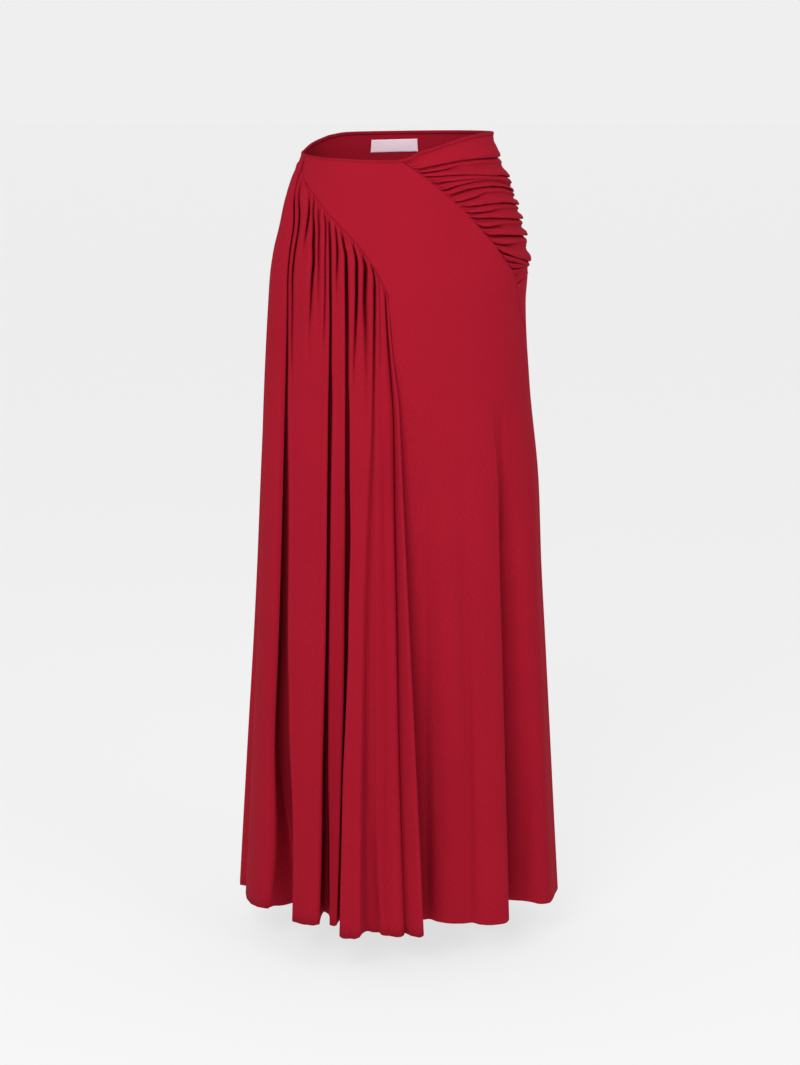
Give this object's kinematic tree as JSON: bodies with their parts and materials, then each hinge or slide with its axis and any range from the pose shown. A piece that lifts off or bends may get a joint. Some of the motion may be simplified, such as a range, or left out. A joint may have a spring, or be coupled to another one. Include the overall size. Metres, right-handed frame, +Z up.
{
  "type": "maxi skirt",
  "caption": "Long soft jersey skirt with a gathered left drape, a ruched hip yoke, a smooth front and an open waist and hem.",
  "frame": {"origin": "centre of the waist opening, at the middle of its slanting height", "axes": "+Z up, -Y the front of the skirt, +X the side with the ruched yoke, on the right as seen from the front"},
  "size_m": [0.444, 0.3709, 1.0296],
  "materials": {
    "red_cloth": "matte fine jersey",
    "red_edge": "matte rolled edge",
    "pink_label": "satin woven tape"
  },
  "bodies": {
    "root": {"front_panel": "red_cloth", "left_drape": "red_cloth", "hip_yoke": "red_cloth", "back_panel": "red_cloth", "waist_edge": "red_edge", "label": "pink_label"}
  },
  "joints": []
}
